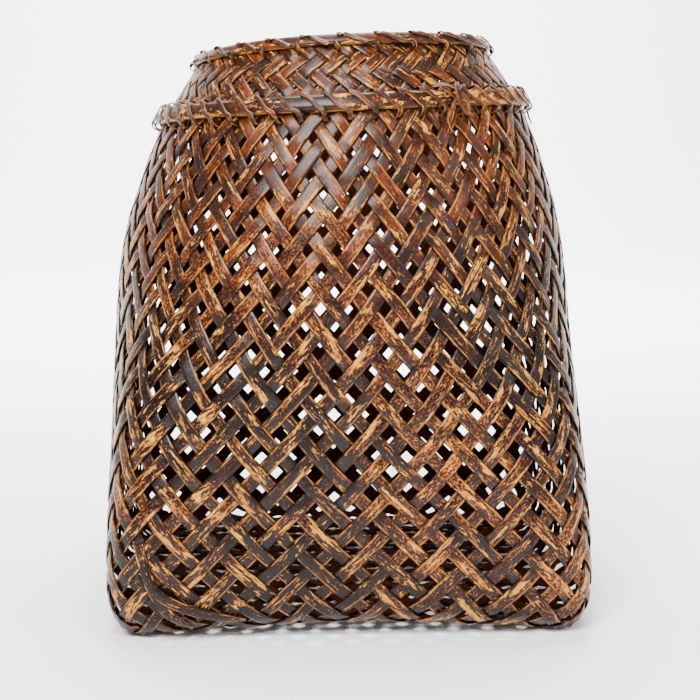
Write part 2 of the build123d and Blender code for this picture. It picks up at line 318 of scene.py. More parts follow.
def ribbon_mesh(name, sections, uvs, wears):
    """Mesh skin over cross-section rings, with a UV map along the fibre and a wear layer."""
    ring, count = len(sections[0]), len(sections)
    faces = []                     # each face is a list of (vertex, place on the UV map, wear)
    for i in range(count - 1):
        j = i + 1
        for m in range(ring):
            n = (m + 1) % ring
            faces.append([(i * ring + m, (uvs[i][0], uvs[i][1][m]), wears[i][m]),
                          (i * ring + n, (uvs[i][0], uvs[i][1][m + 1]), wears[i][n]),
                          (j * ring + n, (uvs[j][0], uvs[i][1][m + 1]), wears[j][n]),
                          (j * ring + m, (uvs[j][0], uvs[i][1][m]), wears[j][m])])
    faces.append([(m, (uvs[0][0], 0.5), END_WEAR) for m in reversed(range(ring))])
    last = (count - 1) * ring
    faces.append([(last + m, (uvs[-1][0], 0.5), END_WEAR) for m in range(ring)])
    # faces look outwards whichever way round the rings run
    middle = sections[count // 2]
    turn = sum((middle[m].cross(middle[(m + 1) % ring]) for m in range(ring)), Vector((0, 0, 0)))
    if turn.dot(sections[count // 2 + 1][0] - middle[0]) < 0:
        faces = [face[::-1] for face in faces]
    verts = [(p.x, p.y, max(p.z, 0.0)) for section in sections for p in section]
    mesh = bpy.data.meshes.new(name)
    mesh.from_pydata(verts, [], [[corner[0] for corner in face] for face in faces])
    layer = mesh.uv_layers.new(name="Fibre")
    layer.data.foreach_set("uv", [c for face in faces for corner in face for c in corner[1]])
    wear = mesh.attributes.new("wear", "FLOAT", "CORNER")
    wear.data.foreach_set("value", [corner[2] for face in faces for corner in face])
    mesh.polygons.foreach_set("use_smooth", [True] * len(mesh.polygons))
    mesh.validate()
    mesh.update()
    return mesh


def add_piece(name, mesh, material, slot, *nodes):
    """Piece of the basket that stands for the given CAD nodes."""
    piece = bpy.data.objects.new(name, mesh)
    bpy.context.scene.collection.objects.link(piece)
    piece.data.materials.append(material)
    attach(piece, "root")
    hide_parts(*nodes)


def travel(line, i):
    """The stop before stop i, and the direction of travel at stop i."""
    before, after = line[max(i - 1, 0)][0], line[min(i + 1, len(line) - 1)][0]
    return before, (after - before).normalized()


class Wander:
    """Smooth seeded variation along a length."""

    def __init__(self, dice, spacing):
        self.spacing = spacing
        self.values = [dice.uniform(-1, 1) for _ in range(WANDER_STOPS)]

    def at(self, s):
        t = s / self.spacing
        i = int(t) % (WANDER_STOPS - 1)
        return self.values[i] + (self.values[i + 1] - self.values[i]) * smooth(t - int(t))


# cross-section of a split-bamboo splint: across (-1..1) and height (0 inside, 1 outside)
SPLINT_RING = [(-1.0, 0.45), (-0.9, 0.82), (-0.55, 0.97), (0.0, 1.0), (0.55, 0.97),
               (0.9, 0.82), (1.0, 0.45), (0.86, 0.06), (0.0, 0.0), (-0.86, 0.06)]
OUTSIDE_POINTS = 7             # the first points of the ring, which lie on the outside

# unevenness of a splint: how much, and the length in metres that it changes over
WIDTH_SWELL, WIDTH_SWELL_RUN = 0.05, 0.045
SIDE_DRIFT, SIDE_DRIFT_RUN = 0.00035, 0.03
TILT, TILT_RUN = 0.05, 0.02
EDGE_NICK, EDGE_NICK_RUN = 0.035, 0.004
EDGE_FROM = 0.8                # points further across than this are on an edge
OTHER_EDGE_SHIFT = 0.7         # so that the two edges aren't nicked alike
NARROWEST, WIDEST = -0.06, 0.07
SQUEEZE_FROM, SQUEEZE_STEPS = 22, 10


def ring_v(ring):
    """UV across a splint: 0..1 over the outside, 2..3 over the inside."""
    out = []
    for m, (across, _) in enumerate(ring):
        out.append((across + 1) / 2 if m < OUTSIDE_POINTS else 2.5 - across / 2)
    out.append(3.0)
    return out


def splint_mesh(name, way, k, settings, dice):
    """One splint from rim to rim, squeezed in the neck and uneven as split by hand."""
    line = splint_line(way, k, STOPS_PER_STEP)
    swell = Wander(dice, WIDTH_SWELL_RUN)
    drift = Wander(dice, SIDE_DRIFT_RUN)
    bow = Wander(dice, TILT_RUN)
    nick = Wander(dice, EDGE_NICK_RUN)
    own = 1 + dice.uniform(NARROWEST, WIDEST)
    start = dice.uniform(0, 4)
    sections, uvs, wears = [], [], []
    length = 0.0
    across_v = ring_v(SPLINT_RING)
    for i, (place, normal, lift, rise) in enumerate(line):
        before, ahead = travel(line, i)
        length += (place - before).length
        side = ahead.cross(normal).normalized()
        up = side.cross(ahead).normalized()
        squeeze = smooth((rise - SQUEEZE_FROM) / SQUEEZE_STEPS)
        width = settings.width * (1 - squeeze) + settings.neck_width * squeeze
        width *= own * (1 + WIDTH_SWELL * swell.at(length))
        centre = place + up * (settings.lift * lift) + side * (SIDE_DRIFT * drift.at(length))
        tilt = TILT * bow.at(length)
        row, wear_row = [], []
        for across, height in SPLINT_RING:
            edge = 1
            if abs(across) > EDGE_FROM:
                shift = OTHER_EDGE_SHIFT if across > 0 else 0
                edge += EDGE_NICK * nick.at(length + shift)
            out = (height - 0.5) * settings.thickness + tilt * across * width / 2
            row.append(centre + side * (across * edge * width / 2) + up * out)
            wear_row.append(max(lift, 0) if height > 0.4 else 0.0)
        sections.append(row)
        uvs.append((start + length, across_v))
        wears.append(wear_row)
    return ribbon_mesh(name, sections, uvs, wears)


# ---- materials --------------------------------------------------------------------------------
RUBBED_EDGE = 0.012            # how soft the edge of a rubbed patch is
BUMP_STRENGTH, BUMP_DEPTH = 0.6, 0.0004
COAT, COAT_ROUGHNESS = 0.1, 0.18
SHEEN_OUTSIDE, SHEEN_INSIDE = 0.2, 0.02
RUBBED_ROUGHNESS, SPECKLE_ROUGHNESS, INSIDE_ROUGHNESS = 0.5, 0.6, 0.9
OLD_CULM = (0.62, 0.48, 0.38)  # what greys the bare culm along its darker fibres


def link(tree, source, socket):
    tree.links.new(source, socket)


def node(tree, kind, **values):
    made = tree.nodes.new(kind)
    for key, value in values.items():
        setattr(made, key, value)
    return made


def grey(value):
    return (value,) * 3


def stretched_noise(tree, coords, scale, detail, size, roughness=0.55, distortion=0.0):
    """Noise with its own scale along each axis, so that it can be drawn out along the fibre."""
    mapping = node(tree, "ShaderNodeMapping")
    mapping.inputs["Scale"].default_value = scale
    link(tree, coords, mapping.inputs["Vector"])
    noise = node(tree, "ShaderNodeTexNoise")
    noise.inputs["Scale"].default_value = size
    noise.inputs["Detail"].default_value = detail
    noise.inputs["Roughness"].default_value = roughness
    noise.inputs["Distortion"].default_value = distortion
    link(tree, mapping.outputs["Vector"], noise.inputs["Vector"])
    return noise.outputs["Fac"]


def ramp(tree, source, stops):
    """Colour ramp over (place, colour) stops; a colour of one number is a grey."""
    made = node(tree, "ShaderNodeValToRGB")
    elements = made.color_ramp.elements
    while len(elements) < len(stops):
        elements.new(0.5)
    for element, (place, colour) in zip(elements, stops):
        element.position = place
        element.color = (*colour, 1) if len(colour) == 3 else (*grey(colour[0]), 1)
    link(tree, source, made.inputs["Fac"])
    return made.outputs["Color"]


def mixed(tree, factor, a, b):
    """Colour between a and b; each value is a socket, a colour or a number."""
    made = node(tree, "ShaderNodeMix", data_type="RGBA", blend_type="MIX")
    for value, socket in ((factor, made.inputs[0]), (a, made.inputs[6]), (b, made.inputs[7])):
        if isinstance(value, bpy.types.NodeSocket):
            link(tree, value, socket)
        elif isinstance(value, tuple):
            socket.default_value = (*value, 1)
        else:
            socket.default_value = value
    return made.outputs[2]


def combined(tree, operation, a, b):
    """Result of a sum on sockets or numbers."""
    made = node(tree, "ShaderNodeMath", operation=operation)
    for value, socket in ((a, made.inputs[0]), (b, made.inputs[1])):
        if isinstance(value, bpy.types.NodeSocket):
            link(tree, value, socket)
        else:
            socket.default_value = value
    return made.outputs[0]


def bamboo(name, dark, mid, warm, worn, hold, gloss, even_share=0.8):
    """Smoked, lacquered split bamboo whose skin has rubbed through to the pale culm."""
    material = bpy.data.materials.new(name)
    material.use_nodes = True
    tree = material.node_tree
    shader = tree.nodes["Principled BSDF"]
    uv = node(tree, "ShaderNodeUVMap", uv_map="Fibre").outputs["UV"]
    place = node(tree, "ShaderNodeTexCoord").outputs["Object"]
    split = node(tree, "ShaderNodeSeparateXYZ")
    link(tree, uv, split.inputs[0])
    across = split.outputs["Y"]
    height = node(tree, "ShaderNodeSeparateXYZ")
    link(tree, place, height.inputs[0])
    height = combined(tree, "MULTIPLY", height.outputs["Z"], 3.0)
    upper = ramp(tree, height, [(0.50, (0,)), (0.80, (even_share,))])
    wear = node(tree, "ShaderNodeAttribute", attribute_name="wear").outputs["Fac"]
    # The lacquer is cloudy, with long fibre streaks and a dense speckle of thin and thick
    # places. High on the basket it is more even.
    cloud = stretched_noise(tree, uv, (60, 0.9, 1), 5, 1.0, 0.6)
    streak = stretched_noise(tree, uv, (55, 16, 1), 3, 1.0, 0.6)
    speckle = stretched_noise(tree, uv, (520, 7.5, 1), 6, 1.0, 0.72, 0.7)
    region = stretched_noise(tree, place, (9, 9, 9), 2, 1.0)
    thin = combined(tree, "ADD", speckle, combined(tree, "MULTIPLY", cloud, 0.42))
    thin = combined(tree, "ADD", thin, combined(tree, "MULTIPLY", region, 0.45))
    bright = tuple(w * 0.45 + c * 0.75 for w, c in zip(warm, worn))
    speckled = ramp(tree, combined(tree, "SUBTRACT", thin, 0.4),
                    [(0.545, dark), (0.622, mid), (0.71, warm)])
    lit = ramp(tree, combined(tree, "SUBTRACT", thin, 0.5), [(0.583, (0,)), (0.645, (0.9,))])
    speckled = mixed(tree, lit, speckled, bright)
    even = combined(tree, "ADD", combined(tree, "MULTIPLY", speckle, 0.35), cloud)
    even = ramp(tree, even, [(0.56, tuple(c * 1.4 + m * 0.3 for c, m in zip(dark, mid))),
                             (0.69, tuple(m * 1.7 for m in mid)),
                             (0.86, tuple(m * 1.5 + w * 0.55 for m, w in zip(mid, warm)))])
    lacquer = mixed(tree, upper, speckled, even)
    lacquer = mixed(tree, ramp(tree, streak, [(0.3, (0.55,)), (0.62, (0,))]), lacquer, dark)
    # rubbed patches: ragged islands drawn out along the fibre
    patch = stretched_noise(tree, uv, (44, 1.9, 1), 8, 1.0, 0.78, 0.5)
    ragged = stretched_noise(tree, uv, (330, 7, 1), 3, 1.0, 0.7)
    patch = combined(tree, "ADD", patch, combined(tree, "MULTIPLY", ragged, 0.30))
    patch = combined(tree, "ADD", patch, combined(tree, "MULTIPLY", wear, 0.05))
    patch = combined(tree, "SUBTRACT", patch, combined(tree, "MULTIPLY", upper, 0.015))
    rubbed = ramp(tree, patch, [(hold, (0,)), (hold + RUBBED_EDGE, (1,))])
    pale = mixed(tree, ramp(tree, streak, [(0.35, (0,)), (0.7, (1,))]), worn,
                 tuple(c * f for c, f in zip(worn, OLD_CULM)))
    colour = mixed(tree, rubbed, lacquer, pale)
    # darker bands along both edges of the outer face, and just inside them a painted highlight: a
    # pale, broken line where the rounded edge catches the light
    off = combined(tree, "ABSOLUTE", combined(tree, "SUBTRACT", across, 0.5), 0.0)
    rim_dark = ramp(tree, off, [(0.40, (0,)), (0.46, (0.75,)), (0.53, (0,))])
    colour = mixed(tree, rim_dark, colour, dark)
    # painted highlight: pale line just inside each edge, broken up by the cloud noise
    edge = ramp(tree, off, [(0.34, (0,)), (0.385, (0.8,)), (0.43, (0,))])
    edge = combined(tree, "MULTIPLY", edge, ramp(tree, cloud, [(0.47, (0,)), (0.56, (0.9,))]))
    colour = mixed(tree, edge, colour, bright)
    # duller inside face; its darker colour is partly the face's own tone and partly painted shade of
    # the basket's interior
    inside = ramp(tree, combined(tree, "DIVIDE", across, 4.0), [(0.38, (0,)), (0.42, (1,))])
    # inside colour: the face's own tone with painted shade of the interior
    inner_tone_and_shade = mixed(tree, streak, mid, dark)
    colour = mixed(tree, combined(tree, "MULTIPLY", inside, 0.9), colour, inner_tone_and_shade)
    link(tree, colour, shader.inputs["Base Color"])
    rough = mixed(tree, rubbed, grey(gloss), grey(RUBBED_ROUGHNESS))
    rough = mixed(tree, ramp(tree, speckle, [(0.45, (0,)), (0.75, (0.6,))]), rough,
                  grey(SPECKLE_ROUGHNESS))
    rough = mixed(tree, inside, rough, grey(INSIDE_ROUGHNESS))
    link(tree, rough, shader.inputs["Roughness"])
    link(tree, mixed(tree, inside, grey(COAT), grey(0.0)), shader.inputs["Coat Weight"])
    relief = combined(tree, "ADD", combined(tree, "MULTIPLY", streak, 0.8),
                      combined(tree, "MULTIPLY", speckle, 0.5))
    relief = combined(tree, "SUBTRACT", relief, combined(tree, "MULTIPLY", rubbed, 0.5))
    bump = node(tree, "ShaderNodeBump")
    bump.inputs["Strength"].default_value = BUMP_STRENGTH
    bump.inputs["Distance"].default_value = BUMP_DEPTH
    link(tree, relief, bump.inputs["Height"])
    link(tree, bump.outputs["Normal"], shader.inputs["Normal"])
    link(tree, mixed(tree, inside, grey(SHEEN_OUTSIDE), grey(SHEEN_INSIDE)),
         shader.inputs["Specular IOR Level"])
    shader.inputs["Coat Roughness"].default_value = COAT_ROUGHNESS
    return material


# ---- hoops and lashings -----------------------------------------------------------------------
# D-shaped section of a split-bamboo hoop: off the wall (0..1) and along it (-1..1)
HOOP_RING = [(0.0, -0.97), (0.5, -1.0), (0.86, -0.88), (0.98, -0.5), (1.0, 0.0), (0.98, 0.5),
             (0.86, 0.88), (0.5, 1.0), (0.0, 0.97)]
HOOP_TOP = 4                   # the point of the ring furthest off the wall
HOOP_STOP = 1.2                # degrees between the stops of a hoop
HOOP_SWELL_RUN, HOOP_SLIP_RUN = 0.03, 0.05
HEIGHT_SWELL, DEPTH_SWELL, HOOP_SLIP = 0.07, 0.08, 0.0004
HOOP_RADIUS = 0.11             # near enough to tell how far off an end is
TAPER_RUN = 0.012              # length that an end tapers over

# faces of the hoops off the middle of the wall, and heights along it
SHOULDER_NEAR, SHOULDER_FAR = 0.0016, 0.0062
SHOULDER_JOINT_GAP = 0.6       # degrees between the two lengths of the shoulder hoop
RIM_LOW, RIM_HIGH = -0.0062, 0.0006
RIM_BANDS = (("rim_band_outer", 0.0015, 0.0044), ("rim_band_inner", -0.0015, -0.0038))
RIM_FROM, RIM_TO = 150, 508.5

# step, steps at its lower and upper edge, reach over the top edge, inner and outer face off the
# wall, steps from one turn to the next and the step of the first turn
WINDINGS = {
    "shoulder_lashing": (SHOULDER_STEP, SHOULDER_STEP - 1, SHOULDER_STEP + 1, None,
                         -0.0024, 0.0068, 2, 1),
    "rim_lashing": (RIM_STEP, RIM_STEP - 2, RIM_STEP, 0.0015, -0.0045, 0.0051, 4, 0),
}


def wall_frame(u, step, step_low, step_high):
    """Foot on the wall, direction out of it and direction up it."""
    foot, out = place_and_normal("wall", u, step)
    rise = (wall_point(u, step_high) - wall_point(u, step_low)).normalized()
    out = (out - rise * out.dot(rise)).normalized()
    return foot, out, rise


def hoop_mesh(name, start, stop, step, low, high, near, far, dice, taper=0.0):
    """Split-bamboo hoop along the wall from start to stop degrees (counted from +X)."""
    count = int((stop - start) / HOOP_STOP)
    swell = Wander(dice, HOOP_SWELL_RUN)
    slip = Wander(dice, HOOP_SLIP_RUN)
    sections, uvs, wears, length = [], [], [], 0.0
    ring_across = [m / (len(HOOP_RING) - 1) for m in range(len(HOOP_RING))] + [1.0]
    for i in range(count + 1):
        degrees = start + (stop - start) * i / count
        u = (degrees + 135) / 360 * STEPS_ROUND
        foot, out, rise = wall_frame(u, step, step - 1, step + 1 if step < RIM_STEP else step)
        to_end = min(i, count - i) / count * math.radians(stop - start) * HOOP_RADIUS
        pinch = 1 - taper * (1 - smooth(to_end / TAPER_RUN))
        mid, half = (low + high) / 2, (high - low) / 2
        half *= (1 + HEIGHT_SWELL * swell.at(length)) * (0.5 + 0.5 * pinch)
        deep = (far - near) * (1 + DEPTH_SWELL * swell.at(length + 1)) * pinch
        mid += HOOP_SLIP * slip.at(length)
        sections.append([foot + out * (near + deep * off) + rise * (mid + half * along)
                         for off, along in HOOP_RING])
        uvs.append((length, ring_across))
        wears.append([0.5] * len(HOOP_RING))
        if i:
            length += (sections[-1][HOOP_TOP] - sections[-2][HOOP_TOP]).length
    return ribbon_mesh(name, sections, uvs, wears)


def wrap_loop(low, high, inner, outer, corner):
    """(distance off the wall, height along it, share of the advance) once round a hoop."""
    loop = []
    corners = ((outer, high, 90, (0, 0.015, 0.07)), (outer, low, 0, (0.93, 0.985, 1)),
               (inner, low, -90, (1, 1, 1)), (inner, high, -180, (1, 1, 1)))
    for cx, cy, start, shares in corners:
        sx = -1 if cx == outer else 1
        sy = -1 if cy == high else 1
        if cx == outer and cy == low:
            for share in (0.26, 0.5, 0.74):
                loop.append((outer, high + (low - high) * share, share))
        for turn, share in zip((0, -45, -90), shares):
            angle = math.radians(start + turn)
            loop.append((cx + sx * corner + corner * math.cos(angle),
                         cy + sy * corner + corner * math.sin(angle), share))
    return loop


# section of a lashing splint: across (-1..1) and height (0..1), and its UV across
LASHING_RING = [(-1.0, 0.3), (-0.8, 0.85), (0.0, 1.0), (0.8, 0.85), (1.0, 0.3), (0.7, 0.0),
                (-0.7, 0.0)]
LASHING_V = [0.0, 0.1, 0.5, 0.9, 1.0, 2.2, 2.8, 3.0]
LASHING_WEAR = 0.7
LASHING_CORNER = 0.0024        # radius that a turn is bent to at each corner
LASHING_SWAY, LASHING_TIGHT, LASHING_SLACK = 0.35, -0.0001, 0.0003
LASHING_SWELL, LASHING_SWELL_RUN = 0.12, 0.006


def lashing_section(here, side, normal, half, thickness):
    return [here + side * (across * half) + normal * ((height - 0.5) * thickness)
            for across, height in LASHING_RING]


def lashing_mesh(name, step, step_low, step_high, over, inner, outer, every, first, settings,
                 dice):
    """Flat splint wound round a hoop, slanting down its outside and straight up inside."""
    start = wall_point(first, step)
    low = -(wall_point(first, step_low) - start).length
    high = over or (wall_point(first, step_high) - start).length
    loop = wrap_loop(low, high, inner, outer, LASHING_CORNER)
    centre_off, centre_along = (inner + outer) / 2, (low + high) / 2
    line = []
    for turn in range(STEPS_ROUND // every):
        sway = dice.uniform(-LASHING_SWAY, LASHING_SWAY)
        loose = dice.uniform(LASHING_TIGHT, LASHING_SLACK)
        for off, along, share in loop:
            u = first + every * (turn + share) + sway * math.sin(math.pi * share)
            foot, out, rise = wall_frame(u, step, step_low, step_high)
            if along < 0:
                along *= (wall_point(u, step_low) - foot).length / -low
            off += loose if off > centre_off else 0
            level = Vector((0, 0, 1)).cross(out).normalized()
            away = out * (off - centre_off) + rise * (along - centre_along)
            line.append((foot + out * off + rise * along, away, level))
    line = rounded(line, 3)
    swell = Wander(dice, LASHING_SWELL_RUN)
    sections, uvs, wears, length = [], [], [], 0.0
    for i, (here, away, level) in enumerate(line):
        before, ahead = travel(line, i)
        length += (here - before).length
        side = (level - ahead * level.dot(ahead)).normalized()
        normal = side.cross(ahead).normalized()
        if normal.dot(away) < 0:
            normal.negate()
        half = settings.lashing_width * (1 + LASHING_SWELL * swell.at(length)) / 2
        sections.append(lashing_section(here, side, normal, half, settings.lashing_thickness))
        uvs.append((length, LASHING_V))
        wears.append([LASHING_WEAR] * len(LASHING_RING))
    return ribbon_mesh(name, sections, uvs, wears)


def rounded(line, parts):
    """Catmull-Rom points between the stops of a line, which it passes through."""
    out = []
    for i in range(len(line) - 1):
        rows = [line[min(max(i + d, 0), len(line) - 1)] for d in (-1, 0, 1, 2)]
        for j in range(parts):
            t = j / parts
            a = -0.5 * t + t * t - 0.5 * t**3
            b = 1 - 2.5 * t * t + 1.5 * t**3
            c = 0.5 * t + 2 * t * t - 1.5 * t**3
            d = -0.5 * t * t + 0.5 * t**3
            out.append(tuple(rows[0][m] * a + rows[1][m] * b + rows[2][m] * c + rows[3][m] * d
                             for m in range(len(line[0]))))
    out.append(line[-1])
    return out


# loose ends of the lashing: (steps round, steps up, millimetres off the wall) along each strip
KNOT_STRIPS = [
    [(20.4, 29.1, 4.2), (21.3, 28.8, 8.4), (22.2, 28.2, 9.6), (23.0, 27.5, 8.4), (23.3, 26.7, 4.6),
     (23.0, 25.9, 3.2)],
    [(23.9, 28.9, 5.0), (23.1, 28.6, 9.4), (22.3, 28.0, 10.4), (21.5, 27.2, 8.6), (21.1, 26.5, 4.2),
     (21.5, 25.8, 3.0)],
    [(22.6, 29.4, 3.4), (22.5, 29.0, 8.6), (22.0, 28.2, 10.9), (22.1, 27.4, 9.4), (22.6, 26.8, 7.2),
     (23.4, 26.6, 7.6)],
    [(40.2, 28.0, 7.4), (41.0, 27.4, 8.6), (41.7, 27.0, 9.4), (42.1, 26.5, 9.8), (42.2, 26.0, 10.2)],
    [(73.6, 28.9, 5.2), (72.9, 28.5, 8.6), (72.6, 27.8, 9.0), (73.0, 27.0, 8.2)],
]


# the broken splint by the front left corner: its kinked run and its hanging end
BROKEN_STRIPS = [
    [(1.6, 5.4, 0.8), (2.1, 4.1, 2.0), (2.6, 3.0, 3.2), (3.3, 1.9, 3.9), (4.3, 0.9, 3.6)],
    [(2.5, 3.2, 3.4), (3.1, 2.7, 4.0), (4.4, 2.0, 3.4), (5.9, 1.4, 2.2), (7.2, 1.0, 1.1)],
]


TIP_FROM, TIP_NARROWING = 0.75, 0.55


def strip_mesh(name, strip, width, thickness, dice):
    """Short loose strip through the given places near the wall."""
    line = []
    for u, step, off in strip:
        foot, out = place_and_normal("wall", u, step)
        line.append((foot + out * (off * MM), out))
    line = rounded(line, 6)
    sections, uvs, wears, length = [], [], [], dice.uniform(0, 3)
    for i, (here, out) in enumerate(line):
        before, ahead = travel(line, i)
        length += (here - before).length
        side = ahead.cross(out).normalized()
        normal = side.cross(ahead).normalized()
        share = i / (len(line) - 1)
        half = width / 2 * (1 - TIP_NARROWING * smooth((share - TIP_FROM) / (1 - TIP_FROM)))
        sections.append(lashing_section(here, side, normal, half, thickness))
        uvs.append((length, LASHING_V))
        wears.append([LASHING_WEAR] * len(LASHING_RING))
    return ribbon_mesh(name, sections, uvs, wears)


# ---- settings ---------------------------------------------------------------------------------
class SplintSettings(bpy.types.PropertyGroup):
    width: bpy.props.FloatProperty(
        name="Width", description="Width of a splint in the base and walls",
        default=0.0080, min=0.003, max=0.009, unit="LENGTH")
    neck_width: bpy.props.FloatProperty(
        name="Neck width", description="Width of a splint where it is squeezed into the neck",
        default=0.0069, min=0.003, max=0.007, unit="LENGTH")
    thickness: bpy.props.FloatProperty(
        name="Thickness", description="Thickness of a splint",
        default=0.001, min=0.0003, max=0.0012, unit="LENGTH")
    lift: bpy.props.FloatProperty(
        name="Lift", description="How far a splint rides outside or inside the middle surface",
        default=0.00072, min=0.0003, max=0.001, unit="LENGTH")
    seed: bpy.props.IntProperty(
        name="Seed", description="Seed of the hand-made unevenness", default=11, min=0)
    dark: bpy.props.FloatVectorProperty(
        name="Smoked skin", description="Darkest lacquered colour", subtype="COLOR",
        default=(0.006, 0.0022, 0.0014), min=0, max=1)
    mid: bpy.props.FloatVectorProperty(
        name="Brown skin", description="Middle lacquered colour", subtype="COLOR",
        default=(0.042, 0.0085, 0.0015), min=0, max=1)
    warm: bpy.props.FloatVectorProperty(
        name="Amber skin", description="Warm lacquered colour", subtype="COLOR",
        default=(0.24, 0.040, 0.002), min=0, max=1)
    worn: bpy.props.FloatVectorProperty(
        name="Bare culm", description="Pale bamboo where the skin has rubbed off",
        subtype="COLOR", default=(0.74, 0.31, 0.036), min=0, max=1)


class HoopSettings(bpy.types.PropertyGroup):
    height: bpy.props.FloatProperty(
        name="Hoop height", description="Height of the shoulder hoop along the wall",
        default=0.0096, min=0.004, max=0.011, unit="LENGTH")
    end_from: bpy.props.FloatProperty(
        name="Closing length from", description="Where the closing length starts, in degrees from +X",
        default=-58.0, unit="NONE")
    end_to: bpy.props.FloatProperty(
        name="Closing length to", description="Where the closing length ends, in degrees from +X",
        default=8.0, unit="NONE")
    lashing_width: bpy.props.FloatProperty(
        name="Lashing width", description="Width of the lashing splint",
        default=0.0030, min=0.001, max=0.005, unit="LENGTH")
    lashing_thickness: bpy.props.FloatProperty(
        name="Lashing thickness", description="Thickness of the lashing splint",
        default=0.0007, min=0.0003, max=0.0012, unit="LENGTH")


class StageSettings(bpy.types.PropertyGroup):
    distance: bpy.props.FloatProperty(
        name="Camera distance", description="Camera distance from the basket's axis",
        default=1.0, min=0.5, max=4, unit="LENGTH")
    camera_height: bpy.props.FloatProperty(
        name="Camera height", description="Camera height over the floor",
        default=0.296, min=0.1, max=1, unit="LENGTH")
    azimuth: bpy.props.FloatProperty(
        name="Turn", description="How far the camera stands to the left of the front",
        default=math.radians(2.4), subtype="ANGLE")
    pitch: bpy.props.FloatProperty(
        name="Pitch", description="How far the camera looks down",
        default=math.radians(8.64), subtype="ANGLE")
    yaw: bpy.props.FloatProperty(
        name="Yaw", description="How far the camera looks off the axis",
        default=math.radians(-0.29), subtype="ANGLE")
    lens: bpy.props.FloatProperty(
        name="Lens", description="Focal length on a 36 mm sensor", default=82.3, min=20,
        max=200, unit="NONE")
    floor: bpy.props.FloatVectorProperty(
        name="Floor colour", description="Colour of the floor and backdrop", subtype="COLOR",
        default=(0.97, 0.97, 0.97), min=0, max=1)


def colours_of(settings):
    return [tuple(c) for c in (settings.dark, settings.mid, settings.warm, settings.worn)]


def times(colour, factor):
    return tuple(c * factor for c in colour)


def skin_variants(settings):
    """The three skins of the splints, by slot."""
    dark, mid, warm, worn = colours_of(settings)
    deep = times(mid, 0.7)
    return {
        "splint_dark": bamboo("Smoked splint", dark, deep, warm, worn, 0.765, 0.26),
        "splint_brown": bamboo("Brown splint", dark, mid, warm, worn, 0.752, 0.28),
        "splint_amber": bamboo("Amber splint", dark, mid, times(warm, 1.3), worn, 0.742,
                               0.26),
    }


# ---- operators --------------------------------------------------------------------------------
class BASKET_OT_splints(bpy.types.Operator):
    """Plait the splints: each climbs a wall, crosses the base and climbs another"""
    bl_idname = "basket.splints"
    bl_label = "Plait splints"

    def execute(self, context):
        settings = context.scene.basket_splints
        skins = skin_variants(settings)
        slots = {part["node"]: part["material_slot"] for part in frame["record"]["subparts"]}
        for way in ("a", "b"):
            for k in range(SPLINTS_PER_WAY):
                name = f"splint_{way}_{k + 1:02d}"
                if name not in frame["nodes"]:
                    raise RuntimeError(f"no node {name} in the frame")
                dice = random.Random(f"{settings.seed} {name}")
                mesh = splint_mesh(f"{name}_woven", way, k, settings, dice)
                add_piece(f"{name}_woven", mesh, skins[slots[name]], slots[name], name)
        broken = "splint_b_02"
        for i, strip in enumerate(BROKEN_STRIPS):
            name = f"{broken}_broken_{i + 1}"
            mesh = strip_mesh(name, strip, settings.width * 0.85, settings.thickness,
                              random.Random(name))
            add_piece(name, mesh, skins[slots[broken]], slots[broken], broken)
        return {"FINISHED"}


class BASKET_OT_shoulder_hoop(bpy.types.Operator):
    """Bend the two lengths of the shoulder hoop round the foot of the neck"""
    bl_idname = "basket.shoulder_hoop"
    bl_label = "Bend shoulder hoop"

    def execute(self, context):
        hoops, skin = context.scene.basket_hoops, context.scene.basket_splints
        dark, mid, warm, worn = colours_of(skin)
        main = bamboo("Hoop bamboo", dark, mid, warm, worn, 0.72, 0.3, 0.25)
        pale = bamboo("Pale hoop bamboo", mid, times(mid, 2.0), warm, times(worn, 0.9), 0.66,
                      0.4, 0.3)
        half = hoops.height / 2
        lengths = (
            ("shoulder_hoop", hoops.end_to + SHOULDER_JOINT_GAP,
             360 - SHOULDER_JOINT_GAP + hoops.end_from, main, "hoop"),
            ("shoulder_hoop_end", hoops.end_from, hoops.end_to, pale, "hoop_pale"),
        )
        for name, start, stop, material, slot in lengths:
            mesh = hoop_mesh(f"{name}_bent", start, stop, SHOULDER_STEP, -half, half,
                             SHOULDER_NEAR, SHOULDER_FAR, random.Random(name), taper=0.35)
            add_piece(f"{name}_bent", mesh, material, slot, name)
        return {"FINISHED"}


class BASKET_OT_rim(bpy.types.Operator):
    """Bend the outer and inner bands of the rim"""
    bl_idname = "basket.rim"
    bl_label = "Bend rim bands"

    def execute(self, context):
        skin = context.scene.basket_splints
        dark, mid, warm, worn = colours_of(skin)
        material = bamboo("Rim bamboo", dark, mid, warm, worn, 0.74, 0.28)
        for name, near, far in RIM_BANDS:
            mesh = hoop_mesh(f"{name}_bent", RIM_FROM, RIM_TO, RIM_STEP, RIM_LOW, RIM_HIGH, near,
                             far, random.Random(name), taper=0.5)
            add_piece(f"{name}_bent", mesh, material, "rim", name)
        return {"FINISHED"}


class BASKET_OT_lashings(bpy.types.Operator):
    """Wind the flat lashing splints round the shoulder hoop and the rim"""
    bl_idname = "basket.lashings"
    bl_label = "Wind lashings"

    def execute(self, context):
        hoops, skin = context.scene.basket_hoops, context.scene.basket_splints
        dark, mid, warm, worn = colours_of(skin)
        material = bamboo("Lashing splint", dark, mid, warm, worn, 0.76, 0.3)
        for name, winding in WINDINGS.items():
            mesh = lashing_mesh(f"{name}_wound", *winding, hoops, random.Random(name))
            add_piece(f"{name}_wound", mesh, material, "lashing", name)
        for i, strip in enumerate(KNOT_STRIPS):
            name = f"shoulder_lashing_end_{i + 1}"
            mesh = strip_mesh(name, strip, hoops.lashing_width * 0.9, hoops.lashing_thickness,
                              random.Random(name))
            add_piece(name, mesh, material, "lashing", "shoulder_lashing")
        return {"FINISHED"}


